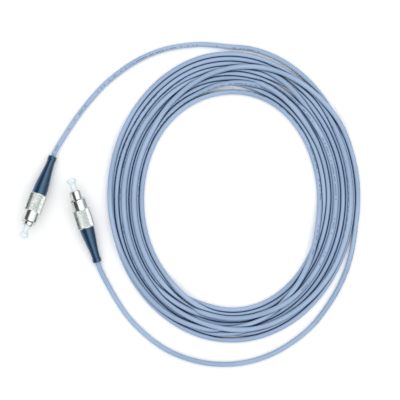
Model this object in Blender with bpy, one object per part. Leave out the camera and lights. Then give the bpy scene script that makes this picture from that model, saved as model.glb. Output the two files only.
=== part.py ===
# Fiber optic patch cord: a coil of 3 mm simplex cable with an FC screw connector on each end.
#
# World frame: +Z up, the surface it lies on is z = 0, and the origin is under the middle of the
# two connectors. Each connector hangs from an empty at the tip of its boot whose +Z runs along
# the connector towards the ferrule. A "station" is a distance in mm along that axis.

import math

import bmesh
import bpy
from mathutils import Matrix
from mathutils import Vector

MM = 0.001
ROUND_SIDES = 24
SMALL_SIDES = 16

# Where each connector lies: boot tip in mm, compass heading and upward slope of its axis in
# degrees, and how far its coupling nut is drawn back from the forward stop in mm.
PLUGS = {
    "a": {"tip": (-4.76, 31.16, 2.75), "heading": 251.0, "slope": 10.0, "nut_back": 0.0},
    "b": {"tip": (22.3, -32.1, 2.8), "heading": 107.6, "slope": 8.0, "nut_back": 3.2},
}

# Stations and radii of one connector, in mm. A pair of stations is (rear, front) and a pair of
# radii is (inner, outer).
CLEARANCE = 0.3
BOOT_LENGTH = 25.7
BOOT_THIN_RADIUS = 2.35
BOOT_ROOT_RADIUS = 4.4
BOOT_COLLAR_RADIUS = 2.65
BOOT_COLLAR_LENGTH = 2.3
BOOT_COLLAR_CHAMFER = 0.45
BOOT_ROWS = 9
# where each step of the boot's bore starts, and its radius
BOOT_BORE = ((0.0, 1.8), (13.9, 2.4), (16.9, 3.05), (23.9, 3.8))
BARREL_FRONT = 44.7
BARREL_RADIUS = 3.2
BARREL_CHAMFER = (0.5, 0.25)
KEY = (34.2, 43.7)
KEY_RADII = (2.8, 3.6)
KEY_WIDTH = 2.0
KEY_TURN = -60.0
SOCKET_RADIUS = 2.45
LEDGE = (35.7, 36.5)
LEDGE_RADIUS = 1.6
FLANGE = (31.1, 31.9)
FLANGE_RADIUS = 4.25
FRAME_REAR = 26.3
FRAME_REAR_RADIUS = 3.5
CAVITY_RADIUS = 2.4
NUT_REAR = 24.9
NUT_LENGTH = 18.0
KNURL_LENGTH = 11.4
KNURL_RADIUS = 5.1
KNURL_CHAMFER = 0.25
KNURL_RUNOUT = 0.2
NUT_EDGE = 0.45
THREAD_CHAMFER = 0.3
NECK_RADIUS = 4.75
SKIRT_DEPTH = 10.5
SKIRT_RADIUS = 4.65
THREAD_RADIUS = 3.85
RING = (30.0, 30.8)
RING_RADII = (3.8, 4.78)
GROOVE_RADIUS = 4.88
GROOVE_CLEARANCE = 0.2
FERRULE = (33.0, 46.7)
FERRULE_RADIUS = 1.25
FERRULE_CHAMFER = (0.5, 0.35)
HUB = (29.6, 35.4)
HUB_RADII = (0.65, 1.7)
HUB_HEAD_LENGTH = 1.3
HUB_HEAD_RADII = (1.45, 2.1)
SPRING_SEAT = 28.0
SPRING_RADIUS = 2.05
SPRING_WIRE_RADIUS = 0.15
SPRING_TURNS = 6
SPRING_END_GAP = 0.15
CAP = (38.7, 52.3)
CAP_BORE_RADIUS = 1.4
CAP_NECK_RADIUS = 1.9
CAP_HEAD_RADIUS = 2.9
CAP_HEAD_LENGTH = 2.9
POST = (18.5, 24.2)
POST_RADII = (1.0, 1.8)
SEAT_RADIUS = 2.1
ARAMID = (18.7, 23.5)
ARAMID_RADII = (1.95, 2.2)
SLEEVE = (17.1, 23.6)
SLEEVE_RADII = (2.35, 2.75)
SLEEVE_CHAMFER = (0.3, 0.15)
JACKET_RING = (14.2, 16.6)
JACKET_RING_RADII = (1.65, 2.1)
JACKET_IN_BOOT = (2.5, 18.0)
JACKET_RADII = (0.75, 1.5)
BUFFER_REAR = 4.0
BUFFER_RADIUS = 0.45

# Cable and coil, in metres.
CABLE_RADIUS = 0.0015
CABLE_STEP = 0.007
COIL_CENTRE = (0.103, 0.0063)
COIL_SEMI_AXES = (0.064, 0.0766)
COIL_HALF_WIDTH = 0.012
COIL_WIDER_TO_THE_RIGHT = 0.001
COIL_WIDER_AT_THE_TOP = 0.0007
COIL_HEIGHT = 0.008
COIL_STEPS = 40

# Free stretches of cable, from each boot tip to the coil, in metres.
TAIL_A = (
    (-0.00476, 0.03116, 0.00275),
    (-0.0028, 0.0357, 0.00195),
    (0.0013, 0.0424, 0.0016),
    (0.0084, 0.0534, 0.00155),
    (0.0174, 0.0652, 0.00155),
    (0.0288, 0.0772, 0.00155),
    (0.0453, 0.0891, 0.00155),
    (0.0627, 0.0963, 0.00155),
    (0.0807, 0.0991, 0.00155),
    (0.0925, 0.0987, 0.00155),
    (0.1010, 0.0977, 0.00155),
)
TAIL_B = (
    (0.0223, -0.0321, 0.0028),
    (0.0236, -0.0361, 0.0022),
    (0.0270, -0.0429, 0.0017),
    (0.0337, -0.0548, 0.00155),
    (0.0423, -0.0669, 0.00155),
    (0.0552, -0.0789, 0.00155),
    (0.0685, -0.0870, 0.00155),
    (0.0840, -0.0919, 0.00155),
    (0.0987, -0.0933, 0.00155),
    (0.1130, -0.0917, 0.00155),
    (0.1270, -0.0870, 0.00155),
    (0.1400, -0.0793, 0.00155),
    (0.1510, -0.0701, 0.00155),
    (0.1600, -0.0587, 0.00155),
    (0.1668, -0.0475, 0.00155),
)
FACE_GAP = 0.0003

# name: base colour, roughness, metallic, alpha
FINISHES = {
    "jacket": ((0.37, 0.46, 0.60), 0.50, 0.0, 1.0),
    "boot_rubber": ((0.03, 0.07, 0.12), 0.30, 0.0, 1.0),
    "bright_nickel": ((0.80, 0.82, 0.80), 0.18, 1.0, 1.0),
    "cap_plastic": ((0.80, 0.92, 0.94), 0.35, 0.0, 0.8),
    "zirconia": ((0.90, 0.90, 0.87), 0.12, 0.0, 1.0),
    "hub_brass": ((0.75, 0.60, 0.30), 0.30, 1.0, 1.0),
    "spring_steel": ((0.55, 0.56, 0.58), 0.30, 1.0, 1.0),
    "sleeve_copper": ((0.70, 0.71, 0.70), 0.35, 1.0, 1.0),
    "buffer_plastic": ((0.92, 0.92, 0.90), 0.40, 0.0, 1.0),
    "aramid": ((0.80, 0.66, 0.20), 0.80, 0.0, 1.0),
}


def clear_scene():
    for old in list(bpy.data.objects):
        bpy.data.objects.remove(old)


def finish(name):
    """The material of this name, made the first time that it is asked for."""
    if name in bpy.data.materials:
        return bpy.data.materials[name]
    colour, roughness, metallic, alpha = FINISHES[name]
    material = bpy.data.materials.new(name)
    material.use_nodes = True
    shader = material.node_tree.nodes["Principled BSDF"]
    shader.inputs["Base Color"].default_value = (*colour, 1.0)
    shader.inputs["Roughness"].default_value = roughness
    shader.inputs["Metallic"].default_value = metallic
    shader.inputs["Alpha"].default_value = alpha
    return material


def add_object(name, data, finish_name, parent=None):
    obj = bpy.data.objects.new(name, data)
    bpy.context.scene.collection.objects.link(obj)
    obj.parent = parent
    copy = finish(finish_name).copy()
    copy.name = f"{name}_finish"
    data.materials.append(copy)
    return obj


def smooth_shade(mesh):
    mesh.shade_smooth()
    mesh.set_sharp_from_angle(angle=math.radians(35))


def turned(name, outline, finish_name, plug, sides=SMALL_SIDES, base=0.0):
    """A solid of revolution about the plug's axis.

    The outline is (station, radius) points in order. A solid one starts and ends on the axis,
    and a hollow one is closed from its last point to its first. The object's origin is on the
    axis at the base station.
    """
    shape = bmesh.new()
    rim = [shape.verts.new((radius * MM, 0.0, (station - base) * MM)) for station, radius in outline]
    pairs = list(zip(rim, rim[1:]))
    if outline[0][1] > 0:
        pairs.append((rim[-1], rim[0]))
    edges = [shape.edges.new(pair) for pair in pairs]
    bmesh.ops.spin(
        shape,
        geom=rim + edges,
        cent=(0.0, 0.0, 0.0),
        axis=(0.0, 0.0, 1.0),
        angle=math.tau,
        steps=sides,
        use_merge=True,
    )
    bmesh.ops.remove_doubles(shape, verts=shape.verts, dist=1e-6)
    bmesh.ops.recalc_face_normals(shape, faces=shape.faces)
    mesh = bpy.data.meshes.new(name)
    shape.to_mesh(mesh)
    shape.free()
    smooth_shade(mesh)
    obj = add_object(name, mesh, finish_name, plug)
    obj.location = (0.0, 0.0, base * MM)
    return obj


def rounded(station, radius, size, start, steps=3):
    """A quarter round of an outline from the given angle in degrees, centred on (station, radius)."""
    angles = [math.radians(start + 90 * step / steps) for step in range(steps + 1)]
    return [(station + size * math.cos(angle), radius + size * math.sin(angle)) for angle in angles]


def sleeve(stations, radii):
    """The outline of a plain tube."""
    rear, front = stations
    inner, outer = radii
    return [(rear, inner), (rear, outer), (front, outer), (front, inner)]


def ease(value):
    value = min(max(value, 0.0), 1.0)
    return value * value * (3 - 2 * value)


def boot_radius(station):
    start = BOOT_COLLAR_LENGTH - 0.8
    end = BOOT_LENGTH - 2.7
    swell = ease((station - start) / (end - start))
    return BOOT_THIN_RADIUS + (BOOT_ROOT_RADIUS - BOOT_THIN_RADIUS) * swell


# Pieces of one connector, from the cable to the dust cap.


def add_boot(tag, plug):
    collar = [
        (0.0, BOOT_COLLAR_RADIUS - BOOT_COLLAR_CHAMFER),
        (BOOT_COLLAR_CHAMFER, BOOT_COLLAR_RADIUS),
        (BOOT_COLLAR_LENGTH - 0.3, BOOT_COLLAR_RADIUS),
    ]
    first = BOOT_COLLAR_LENGTH + 0.2
    row_step = (BOOT_LENGTH - first) / (BOOT_ROWS + 0.3)
    stations = [first + row_step * row for row in range(BOOT_ROWS)]
    flank = [(station, boot_radius(station)) for station in stations]
    front = [(BOOT_LENGTH, BOOT_ROOT_RADIUS)]
    ends = [start for start, radius in BOOT_BORE[1:]] + [BOOT_LENGTH]
    bore = []
    for (start, radius), end in reversed(list(zip(BOOT_BORE, ends))):
        bore += [(end, radius), (start, radius)]
    turned(f"boot_{tag}", collar + flank + front + bore, "boot_rubber", plug, ROUND_SIDES)


def add_jacket_end(tag, plug):
    turned(f"jacket_end_{tag}", sleeve(JACKET_IN_BOOT, JACKET_RADII), "jacket", plug)


def add_jacket_crimp_ring(tag, plug):
    outline = sleeve(JACKET_RING, JACKET_RING_RADII)
    turned(f"jacket_crimp_ring_{tag}", outline, "sleeve_copper", plug)


def add_rear_body(tag, plug):
    rear, front = POST
    bore, radius = POST_RADII
    outline = [
        (rear, bore),
        (rear, radius - 0.2),
        (rear + 0.3, radius),
        (front, radius),
        (front, FRAME_REAR_RADIUS),
        (FRAME_REAR - CLEARANCE, FRAME_REAR_RADIUS),
        (FRAME_REAR - CLEARANCE, SEAT_RADIUS),
        (SPRING_SEAT, SEAT_RADIUS),
        (SPRING_SEAT, bore),
    ]
    turned(f"rear_body_{tag}", outline, "bright_nickel", plug)


def add_aramid(tag, plug):
    turned(f"aramid_yarn_{tag}", sleeve(ARAMID, ARAMID_RADII), "aramid", plug)


def add_crimp_sleeve(tag, plug):
    rear, front = SLEEVE
    inner, outer = SLEEVE_RADII
    outline = [
        (rear, inner),
        (rear, outer - SLEEVE_CHAMFER[1]),
        (rear + SLEEVE_CHAMFER[0], outer),
        (front, outer),
        (front, inner),
    ]
    turned(f"crimp_sleeve_{tag}", outline, "sleeve_copper", plug)


def key_block(tag, plug):
    """The hidden block that is joined to the barrel as its key."""
    bpy.ops.mesh.primitive_cube_add(size=1.0)
    key = bpy.context.object
    key.name = f"key_guide_{tag}"
    key.hide_render = True
    key.display_type = "WIRE"
    key.parent = plug
    turn = Matrix.Rotation(math.radians(KEY_TURN), 4, "Z")
    size = Vector((KEY_WIDTH, KEY_RADII[1] - KEY_RADII[0], KEY[1] - KEY[0])) * MM
    middle = Vector((0.0, sum(KEY_RADII) / 2, sum(KEY) / 2)) * MM
    key.data.transform(turn @ Matrix.Translation(middle) @ Matrix.Diagonal((*size, 1.0)))
    return key


def add_frame(tag, plug):
    outline = [
        (FRAME_REAR, CAVITY_RADIUS),
        (FRAME_REAR, FRAME_REAR_RADIUS),
        (FLANGE[0], FRAME_REAR_RADIUS),
        (FLANGE[0], FLANGE_RADIUS),
        (FLANGE[1], FLANGE_RADIUS),
        (FLANGE[1], BARREL_RADIUS),
        (BARREL_FRONT - BARREL_CHAMFER[0], BARREL_RADIUS),
        (BARREL_FRONT, BARREL_RADIUS - BARREL_CHAMFER[1]),
        (BARREL_FRONT, SOCKET_RADIUS),
        (LEDGE[1], SOCKET_RADIUS),
        (LEDGE[1], LEDGE_RADIUS),
        (LEDGE[0], LEDGE_RADIUS),
        (LEDGE[0], CAVITY_RADIUS),
    ]
    frame = turned(f"plug_frame_{tag}", outline, "bright_nickel", plug, ROUND_SIDES)
    join = frame.modifiers.new("Key", "BOOLEAN")
    join.operation = "UNION"
    join.object = key_block(tag, plug)


def add_spring(tag, plug):
    points_per_turn = 12
    rear = SPRING_SEAT + SPRING_WIRE_RADIUS + SPRING_END_GAP
    front = HUB[1] - HUB_HEAD_LENGTH - SPRING_WIRE_RADIUS - SPRING_END_GAP
    count = SPRING_TURNS * points_per_turn + 1
    route = []
    for step in range(count):
        angle = math.tau * step / points_per_turn
        station = rear + (front - rear) * step / (count - 1)
        place = (SPRING_RADIUS * math.cos(angle), SPRING_RADIUS * math.sin(angle), station)
        route.append([MM * part for part in place])
    tube(f"spring_{tag}", route, SPRING_WIRE_RADIUS * MM, 1, "spring_steel", plug)


def add_hub(tag, plug):
    rear, front = HUB
    bore, radius = HUB_RADII
    socket, head_radius = HUB_HEAD_RADII
    head_rear = front - HUB_HEAD_LENGTH
    socket_end = FERRULE[0] - CLEARANCE
    outline = [
        (rear, bore),
        (rear, radius),
        (head_rear, radius),
        (head_rear, head_radius),
        (front, head_radius),
        (front, socket),
        (socket_end, socket),
        (socket_end, bore),
    ]
    turned(f"ferrule_hub_{tag}", outline, "hub_brass", plug)


def add_ferrule(tag, plug):
    rear, front = FERRULE
    outline = [
        (rear, 0.0),
        (rear, FERRULE_RADIUS),
        (front - FERRULE_CHAMFER[0], FERRULE_RADIUS),
        (front, FERRULE_RADIUS - FERRULE_CHAMFER[1]),
        (front, 0.0),
    ]
    turned(f"ferrule_{tag}", outline, "zirconia", plug)


def add_buffered_fiber(tag, plug):
    front = FERRULE[0] - 2 * CLEARANCE
    outline = [
        (BUFFER_REAR, 0.0),
        (BUFFER_REAR, BUFFER_RADIUS),
        (front, BUFFER_RADIUS),
        (front, 0.0),
    ]
    turned(f"buffered_fiber_{tag}", outline, "buffer_plastic", plug)


def add_nut_ring(tag, plug, back):
    ends = (RING[0] - back, RING[1] - back)
    outline = sleeve(ends, RING_RADII)
    turned(f"nut_retaining_ring_{tag}", outline, "spring_steel", plug, ROUND_SIDES, base=ends[0])


def add_coupling_nut(tag, plug, back):
    rear = NUT_REAR - back
    front = rear + NUT_LENGTH
    knurl_front = rear + KNURL_LENGTH
    shoulder = rear + SKIRT_DEPTH
    groove = (RING[0] - back - GROOVE_CLEARANCE, RING[1] - back + GROOVE_CLEARANCE)
    outline = [
        (rear, KNURL_RADIUS - KNURL_CHAMFER),
        (rear + KNURL_CHAMFER, KNURL_RADIUS),
        (knurl_front - KNURL_RUNOUT, KNURL_RADIUS),
        (knurl_front, NECK_RADIUS),
        *reversed(rounded(front - NUT_EDGE, NECK_RADIUS - NUT_EDGE, NUT_EDGE, 0)),
        (front, THREAD_RADIUS + THREAD_CHAMFER),
        (front - THREAD_CHAMFER, THREAD_RADIUS),
        (shoulder, THREAD_RADIUS),
        (shoulder, SKIRT_RADIUS),
        (groove[1], SKIRT_RADIUS),
        (groove[1], GROOVE_RADIUS),
        (groove[0], GROOVE_RADIUS),
        (groove[0], SKIRT_RADIUS),
        (rear, SKIRT_RADIUS),
    ]
    turned(f"coupling_nut_{tag}", outline, "bright_nickel", plug, ROUND_SIDES, base=rear)


def add_dust_cap(tag, plug):
    rear, front = CAP
    head = front - CAP_HEAD_LENGTH
    bore_end = FERRULE[1] + 0.5
    outline = [
        (bore_end, 0.0),
        (bore_end, CAP_BORE_RADIUS),
        (rear, CAP_BORE_RADIUS),
        (rear, CAP_NECK_RADIUS - 0.1),
        (rear + 0.4, CAP_NECK_RADIUS),
        (head - 0.6, CAP_NECK_RADIUS),
        (head + 0.7, CAP_HEAD_RADIUS - 0.35),
        (head + 1.5, CAP_HEAD_RADIUS),
        (front - 0.6, CAP_HEAD_RADIUS),
        (front, CAP_HEAD_RADIUS - 0.6),
        (front, 0.0),
    ]
    turned(f"dust_cap_{tag}", outline, "cap_plastic", plug, base=rear)


def add_connector(tag):
    place = PLUGS[tag]
    heading = math.radians(place["heading"])
    slope = math.radians(place["slope"])
    forward = Vector(
        (math.cos(heading) * math.cos(slope), math.sin(heading) * math.cos(slope), math.sin(slope))
    )
    left = Vector((-math.sin(heading), math.cos(heading), 0.0))
    up = forward.cross(left)
    plug = bpy.data.objects.new(f"plug_{tag}_axis", None)
    bpy.context.scene.collection.objects.link(plug)
    plug.matrix_world = Matrix.Translation(Vector(place["tip"]) * MM) @ Matrix(
        (left, up, forward)
    ).transposed().to_4x4()
    back = place["nut_back"]
    add_boot(tag, plug)
    add_jacket_end(tag, plug)
    add_jacket_crimp_ring(tag, plug)
    add_rear_body(tag, plug)
    add_aramid(tag, plug)
    add_crimp_sleeve(tag, plug)
    add_frame(tag, plug)
    add_spring(tag, plug)
    add_hub(tag, plug)
    add_ferrule(tag, plug)
    add_buffered_fiber(tag, plug)
    add_nut_ring(tag, plug, back)
    add_coupling_nut(tag, plug, back)
    add_dust_cap(tag, plug)


# The cable.


def tube(name, route, radius, resolution, finish_name, parent=None):
    """A round bar along the route, as a curve with a bevel and filled caps."""
    curve = bpy.data.curves.new(name, "CURVE")
    curve.dimensions = "3D"
    curve.bevel_depth = radius
    curve.bevel_resolution = resolution
    curve.use_fill_caps = True
    spline = curve.splines.new("POLY")
    spline.points.add(len(route) - 1)
    for point, place in zip(spline.points, route):
        point.co = (*place, 1.0)
    return add_object(name, curve, finish_name, parent)


def smooth_through(points, step):
    """Points about a step apart on a Catmull-Rom curve through the given ones."""
    knots = [Vector(point) for point in points]
    knots = [2 * knots[0] - knots[1], *knots, 2 * knots[-1] - knots[-2]]
    found = [knots[1]]
    for before, start, end, after in zip(knots, knots[1:], knots[2:], knots[3:]):
        pieces = max(1, round((end - start).length / step))
        for piece in range(1, pieces + 1):
            t = piece / pieces
            found.append(
                0.5
                * (
                    2 * start
                    + (end - before) * t
                    + (2 * before - 5 * start + 4 * end - after) * t**2
                    + (3 * start - before - 3 * end + after) * t**3
                )
            )
    return found


def add_tail(name, points):
    """The free cable from a boot tip to the coil, clear of the boot by the face gap."""
    route = smooth_through(points, CABLE_STEP)
    route[0] = route[0] + (route[1] - route[0]).normalized() * FACE_GAP
    tube(name, route, CABLE_RADIUS, 2, "jacket")


def coil_section(half_width):
    """The coil's section as (outward, up) points: flat below, rounded corners, arched above."""
    corner = CABLE_RADIUS
    side = [
        (half_width - corner + corner * math.sin(angle), corner - corner * math.cos(angle))
        for angle in (0.0, math.pi / 4, math.pi / 2)
    ]
    arch = [
        (half_width * math.cos(angle), corner + (COIL_HEIGHT - corner) * math.sin(angle))
        for angle in (math.pi / 6, math.pi / 3)
    ]
    half = side + arch
    mirrored = [(-outward, up) for outward, up in reversed(half)]
    return half + [(0.0, COIL_HEIGHT)] + mirrored


def add_coil():
    """The outer shape of all the turns: an oval ring whose width varies a little round it."""
    long_x, long_y = COIL_SEMI_AXES
    shape = bmesh.new()
    sections = []
    for step in range(COIL_STEPS):
        angle = math.tau * step / COIL_STEPS
        middle = long_x * long_y / math.hypot(long_y * math.cos(angle), long_x * math.sin(angle))
        half_width = (
            COIL_HALF_WIDTH
            + COIL_WIDER_TO_THE_RIGHT * math.cos(angle)
            + COIL_WIDER_AT_THE_TOP * math.sin(angle)
        )
        sections.append(
            [
                shape.verts.new(
                    (
                        COIL_CENTRE[0] + (middle + outward) * math.cos(angle),
                        COIL_CENTRE[1] + (middle + outward) * math.sin(angle),
                        up,
                    )
                )
                for outward, up in coil_section(half_width)
            ]
        )
    for section, following in zip(sections, sections[1:] + sections[:1]):
        for corner in range(len(section)):
            last = corner - 1
            shape.faces.new((section[last], section[corner], following[corner], following[last]))
    bmesh.ops.recalc_face_normals(shape, faces=shape.faces)
    mesh = bpy.data.meshes.new("cable_coil")
    shape.to_mesh(mesh)
    shape.free()
    smooth_shade(mesh)
    add_object("cable_coil", mesh, "jacket")


clear_scene()
for plug_tag in PLUGS:
    add_connector(plug_tag)
add_tail("cable_tail_a", TAIL_A)
add_tail("cable_tail_b", TAIL_B)
add_coil()
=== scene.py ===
import math

import bmesh
import bpy
import numpy as np
from mathutils import Matrix, Vector


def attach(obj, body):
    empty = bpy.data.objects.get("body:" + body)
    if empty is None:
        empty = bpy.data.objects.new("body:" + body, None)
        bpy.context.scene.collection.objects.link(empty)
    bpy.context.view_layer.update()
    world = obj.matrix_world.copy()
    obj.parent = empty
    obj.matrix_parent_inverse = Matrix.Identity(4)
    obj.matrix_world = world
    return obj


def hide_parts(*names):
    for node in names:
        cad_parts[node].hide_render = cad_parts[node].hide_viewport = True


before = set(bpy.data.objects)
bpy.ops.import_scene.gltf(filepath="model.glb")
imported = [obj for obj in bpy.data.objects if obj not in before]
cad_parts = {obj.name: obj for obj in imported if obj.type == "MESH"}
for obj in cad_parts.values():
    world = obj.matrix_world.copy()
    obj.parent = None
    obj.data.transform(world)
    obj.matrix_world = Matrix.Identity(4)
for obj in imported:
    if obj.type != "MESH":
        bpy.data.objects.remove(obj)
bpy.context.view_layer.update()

mm = 0.001

# how each connector lies: boot tip, compass heading and upward slope of its axis in degrees,
# and how far its nut is drawn back; a station is a distance along that axis from the boot tip
plugs = {
    "a": {"tip": (-0.00476, 0.03116, 0.00275), "heading": 251.0, "slope": 10.0, "nutBack": 0.0},
    "b": {"tip": (0.0223, -0.0321, 0.0028), "heading": 107.6, "slope": 8.0, "nutBack": 3.2},
}


def plugMatrix(tag):
    # local z runs forward along the connector, local y points up
    heading = math.radians(plugs[tag]["heading"])
    slope = math.radians(plugs[tag]["slope"])
    flat = math.cos(slope)
    forward = Vector((math.cos(heading) * flat, math.sin(heading) * flat, math.sin(slope)))
    left = Vector((-math.sin(heading), math.cos(heading), 0.0))
    turn = Matrix((left, forward.cross(left), forward)).transposed()
    return Matrix.Translation(plugs[tag]["tip"]) @ turn.to_4x4()


# camera

view = {"target": (0.0837, 0.0051, 0.003), "distance": 1.2, "lean": 3.0, "lens": 180.0}


def placeCamera():
    camera = bpy.data.objects.new("camera", bpy.data.cameras.new("camera"))
    bpy.context.scene.collection.objects.link(camera)
    lean = math.radians(view["lean"])
    back = Vector((0.0, -math.sin(lean), math.cos(lean)))
    camera.location = Vector(view["target"]) + back * view["distance"]
    camera.rotation_euler = back.to_track_quat("Z", "Y").to_euler()
    camera.data.lens = view["lens"]
    camera.data.clip_start = 0.01
    bpy.context.scene.camera = camera


placeCamera()
print("camera placed")

# cord: its facts first, then its route

cordKind = {
    "diameter": 0.003,
    "insideBoot": 0.0022,
    "fineStep": 0.0005,
    "smoothReach": 12,
    "heldTips": 4,
    "ringStep": 0.002,
    "sides": 16,
    "probe": 0.0011,
}

# the coil's middle line is an ellipse; enter and leave are compass angles, and it winds clockwise
coil = {
    "centre": (0.103, 0.0063),
    "semiAxes": (0.064, 0.0766),
    "halfWidth": 0.012,
    "widerRight": 0.001,
    "widerTop": 0.0007,
    "turns": 10,
    "sections": 300,
    "layerRise": 1.05,
    "enter": 91.0,
    "enterOut": 0.0148,
    "arriveOver": 60.0,
    "leave": -40.2,
    "leaveOut": 0.0150,
    "leaveOver": 30.0,
    # the strand wanders in waves: how many in a radian, and the phase that each starts at
    "wobble": 0.0005,
    "waves": ((2.3, 0.7), (1.37, 2.1)),
    # one stretch strays inward past the band, so many degrees after the entry
    "strayAt": 2514.0,
    "strayReach": 42.0,
    "strayIn": 0.0024,
    # degrees for which a lane is held before and after the coil's right and left side
    "holdRight": (22, 22),
    "holdLeft": (40, 34),
}

# how the turns come to rest on each other
settling = {
    "rounds": 700,
    "sink": 0.00012,
    "pushes": 4,
    "pushSideways": 0.35,
    "pushUp": 0.9,
    "towardsWish": 0.02,
    "easeAcross": (12, 0.35),
    "easeHeight": (8, 0.30),
    "heldEnd": 6,
    "outOfTheWay": 10.0,
}

# where each pass lies across the band, 0 inside to 1 outside
rightLanes = (0.90, 0.70, 0.60, 0.50, 0.10, 0.30, 0.20, 0.0, 0.80, 0.40, 1.0)
leftLanes = (0.89, 0.67, 0.78, 0.33, 0.11, 0.44, 0.0, 1.0, 0.56, 0.22)

# free stretches from each boot tip to the coil
tailA = (
    (-0.00476, 0.03116, 0.00275),
    (-0.0028, 0.0357, 0.00195),
    (0.0013, 0.0424, 0.0016),
    (0.0084, 0.0534, 0.00155),
    (0.0174, 0.0652, 0.00155),
    (0.0288, 0.0772, 0.00155),
    (0.0453, 0.0891, 0.00155),
    (0.0627, 0.0963, 0.00155),
    (0.0807, 0.0991, 0.00155),
    (0.0925, 0.0987, 0.00155),
    (0.1010, 0.0977, 0.00155),
)
tailB = (
    (0.0223, -0.0321, 0.0028),
    (0.0236, -0.0361, 0.0022),
    (0.0270, -0.0429, 0.0017),
    (0.0337, -0.0548, 0.00155),
    (0.0423, -0.0669, 0.00155),
    (0.0552, -0.0789, 0.00155),
    (0.0685, -0.0870, 0.00155),
    (0.0840, -0.0919, 0.00155),
    (0.0987, -0.0933, 0.00155),
    (0.1130, -0.0917, 0.00155),
    (0.1270, -0.0870, 0.00155),
    (0.1400, -0.0793, 0.00155),
    (0.1510, -0.0701, 0.00155),
    (0.1600, -0.0587, 0.00155),
    (0.1668, -0.0475, 0.00155),
)


def ease(value):
    value = np.clip(value, 0.0, 1.0)
    return value * value * (3 - 2 * value)


def coilRadius(compass):
    angle = np.radians(compass)
    wide, tall = coil["semiAxes"]
    return wide * tall / np.hypot(tall * np.cos(angle), wide * np.sin(angle))


def coilRoom(compass):
    # how far a turn's own middle may lie from the band's middle line
    angle = np.radians(compass)
    wider = coil["widerRight"] * np.cos(angle) + coil["widerTop"] * np.sin(angle)
    return coil["halfWidth"] + wider - cordKind["diameter"] / 2


def laneKeys():
    # degrees travelled since the entry, and the lane held there
    travelled, lanes = [], []
    for turn, lane in enumerate(rightLanes):
        right = coil["enter"] + 360 * turn
        travelled += [right - coil["holdRight"][0], right + coil["holdRight"][1]]
        lanes += [lane, lane]
        if turn < len(leftLanes):
            left = right + 180
            travelled += [left - coil["holdLeft"][0], left + coil["holdLeft"][1]]
            lanes += [leftLanes[turn]] * 2
    return np.array(travelled, float), np.array(lanes)


def wishedTurns():
    # one strand as numbers: its compass angle, how far out of the middle line it would like
    # to lie, how far in and out it may lie, and its height before it settles
    sweep = 360.0 * coil["turns"] + coil["enter"] - coil["leave"]
    count = round(sweep / 360 * coil["sections"]) + 1
    travelled = np.arange(count) * 360.0 / coil["sections"]
    compass = coil["enter"] - travelled
    keys, lanes = laneKeys()
    at = np.clip(np.searchsorted(keys, travelled) - 1, 0, len(keys) - 2)
    part = ease((travelled - keys[at]) / (keys[at + 1] - keys[at]))
    lane = lanes[at] * (1 - part) + lanes[at + 1] * part
    room = coilRoom(compass)
    out = (2 * lane - 1) * room
    arriving = 1 - ease(travelled / coil["arriveOver"])
    leaving = 1 - ease((travelled[-1] - travelled) / coil["leaveOver"])
    out = out + (coil["enterOut"] - out) * arriving
    out = out + (coil["leaveOut"] - out) * leaving
    turned = np.radians(travelled)
    out = out + coil["wobble"] * sum(np.sin(rate * turned + phase) for rate, phase in coil["waves"])
    outerWall = room + (coil["enterOut"] - room) * arriving + (coil["leaveOut"] - room) * leaving
    stray = ease(1 - np.abs(travelled - coil["strayAt"]) / coil["strayReach"])
    innerWall = -room - coil["strayIn"] * stray
    out = out + (innerWall - out) * stray
    rise = cordKind["diameter"] * (0.5 + coil["layerRise"] * np.arange(count) / coil["sections"])
    return compass, out, innerWall, outerWall, rise


def smoothed(values, reach):
    weights = np.hanning(2 * reach + 1)
    before = 2 * values[0] - values[reach:0:-1]
    after = 2 * values[-1] - values[-2:-reach - 2:-1]
    return np.convolve(np.concatenate([before, values, after]), weights / weights.sum(), "valid")


def easedStrand(values, reach, share):
    return values + share * (smoothed(values, reach) - values)


def pushedApart(across, height):
    # how far each circle moves, sideways and up, to clear the others of its section
    sideways = across.reshape(-1, coil["sections"]).T
    upward = height.reshape(-1, coil["sections"]).T
    apartAcross = sideways[:, :, None] - sideways[:, None, :]
    apartUp = upward[:, :, None] - upward[:, None, :]
    apart = np.hypot(apartAcross, apartUp)
    np.einsum("ijj->ij", apart)[:] = 1.0
    push = 0.5 * np.clip(cordKind["diameter"] - apart, 0, None) / np.maximum(apart, 1e-6)
    return (push * apartAcross).sum(2).T.reshape(-1), (push * apartUp).sum(2).T.reshape(-1)


def holdEnds(values, start, end):
    # the first and last few sections run in smoothly from the free stretches
    held = settling["heldEnd"]
    count = len(values)
    grow = np.linspace(0, 1, held + 1)[:held] ** 2
    values[:held] = start + (values[held] - start) * grow
    values[count - held:] = end + (values[count - held - 1] - end) * grow[::-1]


def settle(out, innerWall, outerWall, rise):
    # every section of the coil is a stack of circles: they sink, push each other aside, and are
    # smoothed along the strand, until the turns lie beside and on each other
    count = len(out)
    spare = settling["outOfTheWay"] + np.arange(-count % coil["sections"])
    across = np.concatenate([out, spare])
    height = np.concatenate([rise, spare])
    floor = cordKind["diameter"] / 2
    for _ in range(settling["rounds"]):
        height[:count] -= settling["sink"]
        for _ in range(settling["pushes"]):
            aside, lift = pushedApart(across, height)
            across += settling["pushSideways"] * aside
            height += settling["pushUp"] * lift
            height[:count] = np.maximum(height[:count], floor)
            across[:count] = np.clip(across[:count], innerWall, outerWall)
        across[:count] += settling["towardsWish"] * (out - across[:count])
        across[:count] = easedStrand(across[:count], *settling["easeAcross"])
        height[:count] = easedStrand(height[:count], *settling["easeHeight"])
        height[:count] = np.maximum(height[:count], floor)
        holdEnds(across[:count], coil["enterOut"], coil["leaveOut"])
        holdEnds(height[:count], floor, floor)
    return across[:count], height[:count]


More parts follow.
